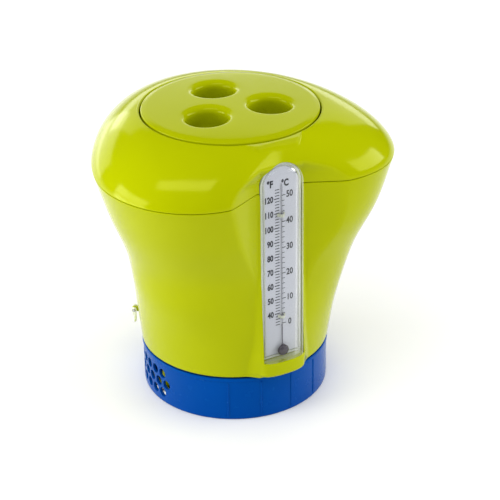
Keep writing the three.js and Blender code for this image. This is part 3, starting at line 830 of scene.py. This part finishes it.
def lid_seal():
    turns = np.arange(20) * 2 * math.pi / 20
    profile = [(52 + 1.3 * math.cos(t), 182.9 + 1.3 * math.sin(t)) for t in turns]
    made = solid("seal", lathe(profile))
    return piece(made, "lid_o_ring", "lid_seal", "black_rubber", stands_for=["lid_seal"])


def chamfered(r_in, r_out, z0, z1, edge=0.3):
    """Profile of a ring with chamfered edges."""
    return [(r_in + edge, z0), (r_out - edge, z0), (r_out, z0 + edge), (r_out, z1 - edge),
            (r_out - edge, z1), (r_in + edge, z1), (r_in, z1 - edge), (r_in, z0 + edge)]


def soft_ring(name, stands_for, slot, r_in, r_out, z0, z1, edge=0.3, gap=None):
    """A ring with chamfered edges, and a split if gap gives its plan angle and span."""
    made = solid(name, lathe(chamfered(r_in, r_out, z0, z1, edge), 240))
    if gap:
        cut(made, sector(r_in - 2, r_out + 2, z0 - 1, z1 + 1, *gap))
    return piece(made, name, "float_body", slot, stands_for=[stands_for])


def lid_collar():
    profile = [(52.6, 173.1), (54.8, 173.1), (54.8, 180.7), (54.5, 181), (52.9, 181), (52.6, 180.7)]
    made = solid("collar", lathe(profile, 240))
    add(made, *[sector(49.7, 53, 177.8, 180.6, angle + 60, 92) for angle in WELL_ANGLES])
    return piece(made, "bayonet_collar", "float_body", "lime_plastic", stands_for=["lid_collar"])


def tablet_tube():
    made = solid("tube", lathe(chamfered(*TUBE_R, *TUBE_Z), 240))
    foot = WINDOW_Z[0] + 1
    slots = []
    for side in (90, -90):
        for offset in SLOT_ANGLES:
            centre = side + VENT_TURN + offset
            slots.append(sector(TUBE_R[0] - 4, TUBE_R[1] + 4, foot, WINDOW_Z[1], centre, SLOT_SPAN))
    cut(made, *slots)
    return piece(made, "tablet_sleeve", "float_body", "lime_plastic", stands_for=["tablet_tube"])


def grille():
    profile = [(0, 0), (51.5, 0), (52.1, 0.6), (52.1, 3), (51.7, 3.4), (0, 3.4)]
    made = solid("grille", lathe(profile, 240))
    slots = []
    for i in range(6):
        for r_in, r_out in ((9, 17), (20, 27), (30, 37)):
            slots.append(sector(r_in, r_out, -1, 5, 60 * i, 46))
    cut(made, *slots)
    bores = []
    for angle in SCREW_ANGLES:
        x, y, _ = polar(SCREW_CIRCLE, angle, 0)
        rings = [(0, 3.4), (0.2, 3.2), (0.47, 3.2), (0.4701, 1.6), (1, 1.6)]
        bores.append(rod(rings, (x, y, -1), (x, y, 5), 32))
    cut(made, *bores)
    return piece(made, "foot_grille", "float_body", "blue_plastic", stands_for=["tablet_grille"])


def screw(index, angle):
    x, y, _ = polar(SCREW_CIRCLE, angle, 0)
    rings = [(0, 1.9), (0.014, 2.4), (0.04, 2.7), (0.09, 2.8), (0.094, 1.2), (0.97, 1.2), (1, 0.8)]
    made = solid("screw", rod(rings, (x, y, 0.2), (x, y, 14), 32))
    cut(made, rod([(0, 1.2), (1, 1.1)], (x, y, -1), (x, y, 0.9), 6))
    name = f"grille_screw_{index}"
    return piece(made, f"foot_screw_{index}", "float_body", "screw_steel", stands_for=[name])


# ---------- dosing ring ----------

def dosing_ring():
    ribs = [face + rib + RIB_TURN for face in (0, 180) for rib in RIB_ANGLES]
    near = [-0.62, -0.5, -0.3, 0.0, 0.3, 0.5, 0.62]
    columns = [a for a in np.arange(-180, 180, 1.5) if all(abs(wrapped(a - rib)) > 1.2 for rib in ribs)]
    columns = np.array(sorted(columns + [float(wrapped(rib + d)) for rib in ribs for d in near]))
    distance = np.min([np.abs(wrapped(columns - rib)) for rib in ribs], axis=0)
    rise = 0.5 * (1 - smooth_step(0.3, 0.62, distance))
    foot = 1.1
    rim = 0.7
    rows = []

    def row(radius, z, ribbed=0.0):
        rows.append(polar(radius + ribbed * rise, columns, z))

    row(57.9, 0)
    for t in quarter(4):
        row(RING_WALL - foot + foot * math.sin(t), foot * (1 - math.cos(t)))
    row(RING_WALL, 2.0)
    row(RING_WALL, 2.4, 1)
    row(RING_WALL, 26.6, 1)
    row(RING_WALL, 27.0)
    row(RING_WALL, 27.5)
    row(RING_R - 0.2, 27.75)
    row(RING_R, 28.0)
    for t in quarter(4):
        row(RING_R - rim * (1 - math.cos(t)), 29.6 + rim * math.sin(t))
    row(57.9, 30.3)
    row(57.6, 30.0)
    row(57.6, 0.3)
    made = solid("ring", grid(np.array(rows), True, True))
    vents = []
    rings = [(0, 3.05), (0.62, 3.05), (0.755, 3.45), (1, 4.6)]
    for side in (90, -90):
        for z, count in VENT_ROWS:
            for i in range(count):
                angle = side + VENT_TURN + VENT_PITCH * (i - (count - 1) / 2)
                vents.append(rod(rings, polar(56, angle, z), polar(61, angle, z), 24))
    cut(made, *vents)
    add(made, *[sector(54.9, 58, 6.5, 8.5, angle, 16) for angle in (-130, -10, 110)])
    add(made, sector(55.2, 58, 10, 14, -135, 5))
    return piece(made, "dose_ring", "dosing_ring", "blue_plastic", stands_for=["dosing_ring"])


# ---------- thermometer ----------

COVER_BASE = 61.3
COVER_HALF = 14.08
COVER_WALL = 1.3
PILLOW_POWER = 0.7        # squareness of the cover's section, where 1 is an ellipse


def pillow_skin(half, base, front, z0, z1, path_steps=24):
    """A round-topped crowned face, as rows along its edge from bottom right, over the top, to bottom left.
    Each row goes from the edge to the middle line."""
    centre_z = z1 - half
    t = np.linspace(0, math.pi / 2, 19)
    share = np.cos(t) ** PILLOW_POWER
    ahead = base + (front - base) * np.sin(t) ** PILLOW_POWER
    rows = []
    for z in np.linspace(z0, centre_z, path_steps)[:-1]:
        rows.append(np.column_stack([half * share, -ahead, np.full_like(share, z)]))
    for a in np.linspace(0, math.pi, 49):
        reach = half * share
        rows.append(np.column_stack([reach * math.cos(a), -ahead, centre_z + reach * math.sin(a)]))
    for z in np.linspace(centre_z, z0, path_steps)[1:]:
        rows.append(np.column_stack([-half * share, -ahead, np.full_like(share, z)]))
    return np.array(rows)


def cover():
    z0, z1 = POCKET_Z[0] + 0.2, POCKET_Z[1] - 0.12
    outer = pillow_skin(COVER_HALF, COVER_BASE, COVER_FRONT, z0, z1)
    inner = pillow_skin(12.5, COVER_BASE, COVER_FRONT - COVER_WALL, z0 + COVER_WALL, z1 - COVER_WALL)
    count, steps = outer.shape[:2]
    points = np.concatenate([outer.reshape(-1, 3), inner.reshape(-1, 3)])
    size = count * steps
    faces = strip_faces(count, steps)
    faces += [[i + size for i in face] for face in faces]
    for i in range(0, size - steps, steps):
        faces.append([i, i + steps, size + i + steps, size + i])
    last = (count - 1) * steps
    faces.append([0, last, size + last, size])
    for offset in (0, size):
        across = [offset + j for j in range(steps)]
        back = [offset + last + j for j in range(steps - 1)][::-1]
        faces.append(across + back)
    made = solid("cover", (points, faces))
    made.visible_shadow = False
    return piece(made, "clear_cover", "float_body", "clear_plastic", stands_for=["thermometer_cover"],
                 sharp=40)


def tray():
    z0, z1 = POCKET_Z[0] + 0.6, POCKET_Z[1] - 0.4
    made = solid("tray", facing(round_top(13.8, z0, z1), 58.5, 61))
    cut(made, facing(round_top(12.4, z0 + 1.4, z1 - 1.4), 59.7, 65))
    return piece(made, "scale_tray", "float_body", "white_plastic", tray_white, ["thermometer_tray"])


def tray_gasket():
    z0, z1 = POCKET_Z[0] + 0.6, POCKET_Z[1] - 0.4
    made = solid("gasket", facing(round_top(13.8, z0, z1), 57.4, 58.2))
    cut(made, facing(round_top(11.4, z0 + 2.4, z1 - 2.4), 50, 70))
    return piece(made, "tray_seal", "float_body", "black_rubber", stands_for=["tray_gasket"])


def scale_plate():
    z0, z1 = POCKET_Z[0] + 2.5, POCKET_Z[1] - 2.2
    made = solid("plate", facing(round_top(11.6, z0, z1), 60, PLATE_FRONT))
    return piece(made, "scale_card", "float_body", "scale_white", stands_for=["scale_plate"])


def bar(x0, x1, z, thick):
    outline = [(x0, z - thick / 2), (x1, z - thick / 2), (x1, z + thick / 2), (x0, z + thick / 2)]
    return facing(outline, PLATE_FRONT + 0.01, PLATE_FRONT + 0.05)


def lettering(text, x, z, height, stretch=0.86, weight=0.0):
    """Printed figures as a thin solid, centred at a place on the plate."""
    curve = bpy.data.curves.new("figures", "FONT")
    curve.body = text
    curve.align_x = "CENTER"
    curve.align_y = "CENTER"
    curve.size = height / 0.72
    curve.extrude = 0.02
    curve.offset = weight
    curve.resolution_u = 3
    made = bpy.data.objects.new("figures", curve)
    bpy.context.scene.collection.objects.link(made)
    graph = bpy.context.evaluated_depsgraph_get()
    mesh = bpy.data.meshes.new_from_object(made.evaluated_get(graph))
    flat = np.array([v.co for v in mesh.vertices])
    depth = -(PLATE_FRONT + 0.03 + flat[:, 2])
    points = np.column_stack([x + stretch * flat[:, 0], depth, z + flat[:, 1]])
    faces = [list(p.vertices) for p in mesh.polygons]
    bpy.data.objects.remove(made)
    return points, faces


def fahrenheit(degrees):
    """Height of a mark on the left of the plate."""
    return 73.7 + 0.9775 * (degrees - 40)


def celsius(degrees):
    """Height of a mark on the right of the plate."""
    return 66.1 + 1.746 * degrees


def scale_print():
    parts = []
    for degrees in range(32, 127, 2):
        main = degrees % 10 == 0
        parts.append(bar(-4.4 if main else -3.8, -0.9, fahrenheit(degrees), 0.62 if main else 0.5))
    for degrees in range(0, 51, 2):
        main = degrees % 10 == 0
        parts.append(bar(0.9, 3.3 if main else 2.7, celsius(degrees), 0.5 if main else 0.42))
    for degrees in range(40, 121, 10):
        x = -7.3 if degrees < 100 else -8.1
        parts.append(lettering(str(degrees), x, fahrenheit(degrees), 4.0, 0.74, 0.2))
    for degrees in range(0, 51, 10):
        parts.append(lettering(str(degrees), 6.1, celsius(degrees), 4.2, 0.78, 0.15))
    parts.append(lettering("°F", -7.2, 161.9, 4.4, 0.78, 0.26))
    parts.append(lettering("°C", 3.0, 161.0, 4.4, 0.74, 0.26))
    made = solid("print", *parts)
    return piece(made, "scale_print", "float_body", "dark_spirit", ink)


def capillary():
    r_out = 1.0
    r_in = 0.32
    low = CAPILLARY_FOOT - 0.4
    high = 162
    profile = [(r_in, low), (r_out - 0.2, low), (r_out, CAPILLARY_FOOT), (r_out, high - 0.6),
               (r_out - 0.3, high), (r_in, high)]
    made = solid("tube", lathe(profile, 32, (0, -CAPILLARY_Y)))
    made.visible_shadow = False
    return piece(made, "glass_capillary", "float_body", "capillary_glass", stands_for=["capillary_tube"])


def fluid():
    """The column in the bore, from its foot to the top of the fluid."""
    rings = [(s, 0.26) for s in np.linspace(0, 1, 40)]
    foot = (0, -CAPILLARY_Y, CAPILLARY_FOOT)
    made = solid("fluid", rod(rings, foot, (0, -CAPILLARY_Y, FLUID_TOP), 16))
    made = piece(made, "fluid_column", "float_body", "dark_spirit", stands_for=["capillary_fluid"])
    made.parent = None
    del made["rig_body"]
    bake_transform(made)
    return made


def bulb():
    """A squat, flattened bulb that leans forward, with a short neck towards the tube."""
    sides = 40
    neck = 0.75
    t = np.linspace(-math.pi / 2, math.pi / 2, 25)
    rings = [(3.7 * math.cos(a), 48.5 + 3.6 * math.sin(a)) for a in t[1:-1]]
    rings = [(max(r, neck) if z > 50 else r, z) for r, z in rings] + [(neck, 52.3)]
    a = np.arange(sides) * 2 * math.pi / sides
    rows = []
    for r, z in rings:
        lean = 1.3 * min(1, r / 2)
        depth = -(CAPILLARY_Y + lean) - 0.57 * r * np.cos(a)
        rows.append(np.column_stack([r * np.sin(a), depth, np.full_like(a, z)]))
    points, faces = grid(np.array(rows), close_columns=True)
    count = len(points)
    points = np.vstack([points, [0, -62.8, 44.93], [0, -CAPILLARY_Y, 52.35]])
    last = count - sides
    faces += [[(i + 1) % sides, i, count] for i in range(sides)]
    faces += [[last + i, last + (i + 1) % sides, count + 1] for i in range(sides)]
    made = solid("bulb", (points, faces))
    return piece(made, "spirit_bulb", "float_body", "dark_spirit", stands_for=["thermometer_bulb"], sharp=60)


def clip(name, node_name, z):
    """A staple over the tube: a rounded arch with two feet."""
    arc = np.linspace(0, math.pi, 17)
    outer = [(-2.6, 61.1), (-2.6, 61.6), (-1.9, 61.7)]
    outer += [(-1.75 * math.cos(t), 62.1 + 1.8 * math.sin(t)) for t in arc]
    outer += [(1.9, 61.7), (2.6, 61.6), (2.6, 61.1), (1.4, 61.1)]
    outer += [(1.25 * math.cos(t), 62.1 + 1.25 * math.sin(t)) for t in arc]
    outer += [(-1.4, 61.1)]
    made = solid(name, extrusion(outer, lambda x, v: (x, -v, z), lambda x, v: (x, -v, z + 1.8)))
    return piece(made, name, "float_body", "white_plastic", clip_plastic, [node_name])


# ---------- tether eyelet ----------

def eyelet():
    """A clear loop that hangs from two cheeks on the pin."""
    distance, height = EYELET_PIVOT
    middle = height - 5.8
    a = np.arange(48) * 2 * math.pi / 48
    rows = []
    for t in np.arange(16) * 2 * math.pi / 16:
        radius = 2.8 + 0.9 * math.cos(t)
        depth = np.full_like(a, -distance - math.sin(t))
        rows.append(np.column_stack([radius * np.cos(a), depth, middle + radius * np.sin(a)]))
    made = solid("loop", turned(grid(np.array(rows), True, True), EYELET_ANGLE))
    for side in (-1, 1):
        low, high = sorted((1.5 * side, 2.9 * side))
        add(made, turned(cross_rod(1.9, low, high, 32, 0.25), EYELET_ANGLE))
        arm = [(-distance - 1, middle + 0.3), (-distance + 1, middle + 0.3),
               (-distance + 1, height), (-distance - 1, height)]
        low, high = sorted((1.65 * side, 2.75 * side))
        add(made, turned(extrusion(arm, lambda y, z: (low, y, z), lambda y, z: (high, y, z)), EYELET_ANGLE))
    cut(made, turned(cross_rod(PIN_HOLE_R, -4, 4), EYELET_ANGLE))
    made.visible_shadow = False
    return piece(made, "tether_loop", "eyelet", "clear_plastic", eyelet_clear, ["tether_eyelet"])


def eyelet_pin():
    made = solid("pin", turned(cross_rod(0.8, -3.4, 3.4, 24, 0.2), EYELET_ANGLE))
    return piece(made, "loop_pin", "float_body", "screw_steel", stands_for=["eyelet_pin"])


lower_float()
upper_float()
lid()
lid_seal()
lid_collar()
tablet_tube()
soft_ring("tube_ring_upper", "tube_seal_upper", "black_rubber", 42.3, 45.3, 170.8, 172.5)
soft_ring("tube_ring_lower", "tube_seal_lower", "black_rubber", 42.3, 45.3, 31.4, 33.2)
soft_ring("ballast", "ballast_ring", "ballast_iron", 46.2, 53, 33.7, 40, 0.6)
soft_ring("snap_ring", "ring_retainer", "white_plastic", 54.9, 57.3, 4, 6.1, 0.3, (45, 6))
grille()
for i, angle in enumerate(SCREW_ANGLES):
    screw(i + 1, angle)
dosing_ring()
cover()
tray()
tray_gasket()
scale_plate()
scale_print()
capillary()
fluid()
bulb()
clip("tube_clip_lower", "capillary_clip_lower", 71.2)
clip("tube_clip_upper", "capillary_clip_upper", 140.4)
eyelet()
eyelet_pin()

# The CAD's own meshes: only the seam gasket has no piece above that replaces it
for name, cad_node in frame["nodes"].items():
    cad_node.data.materials.clear()
    cad_node.data.materials.append(rubber if name == "seam_gasket" else lime)


# ---------- floor and light ----------

def add_floor():
    corners = [(-6, -6, 0), (6, -6, 0), (6, 6, 0), (-6, 6, 0)]
    mesh = bpy.data.meshes.new("floor")
    mesh.from_pydata(corners, [], [(0, 1, 2, 3)])
    floor = new_object("floor", mesh)
    floor.data.materials.append(moulded("pale floor", (0.8, 0.8, 0.81), 0.9, variation=0.005, grain=0.02,
                                        grain_scale=300, specular=0.1))


def softbox(name, angle, elevation, distance, size, radiance, target=(0, 0, 0.1)):
    """A soft area light. Its angle is measured from the camera's plan angle, positive to the right."""
    data = bpy.data.lights.new(name, "AREA")
    data.shape = "RECTANGLE"
    data.size, data.size_y = size
    data.energy = radiance * math.pi * size[0] * size[1]
    lamp = bpy.data.objects.new(name, data)
    bpy.context.scene.collection.objects.link(lamp)
    lift = math.radians(elevation)
    away = Vector(polar(math.cos(lift), VIEW_ANGLE + angle, math.sin(lift))) * distance
    place = away + Vector(target)
    turn = (place - Vector(target)).to_track_quat("Z", "Y").to_matrix()
    lamp.matrix_world = Matrix.Translation(place) @ turn.to_4x4()


def add_world():
    world = bpy.data.worlds.new("studio")
    world.use_nodes = True
    background = world.node_tree.nodes["Background"]
    background.inputs["Color"].default_value = (1, 1, 1, 1)
    background.inputs["Strength"].default_value = 0.8
    world.cycles_visibility.glossy = False
    bpy.context.scene.world = world


add_floor()
add_world()
softbox("front_top", -25, 57, 1.2, (1.1, 0.26), 3.7)
for column in (-1, 1):
    for row in (-1, 1):
        softbox(f"window_{column}_{row}", -77 + 10.5 * column, 9 + 8 * row, 1.2, (0.41, 0.3), 4.9)
softbox("right", 88, 19, 1.2, (1.1, 0.42), 3.8)
softbox("back", 180, 27, 1.4, (1.7, 0.5), 0.8)
softbox("back_low", 180, 11, 1.4, (1.7, 0.25), 1.7)
softbox("back_left", -140, 8, 1.2, (0.7, 0.5), 1.3)
bpy.context.scene.view_settings.view_transform = "Standard"
bpy.context.scene.view_settings.look = "Medium High Contrast"
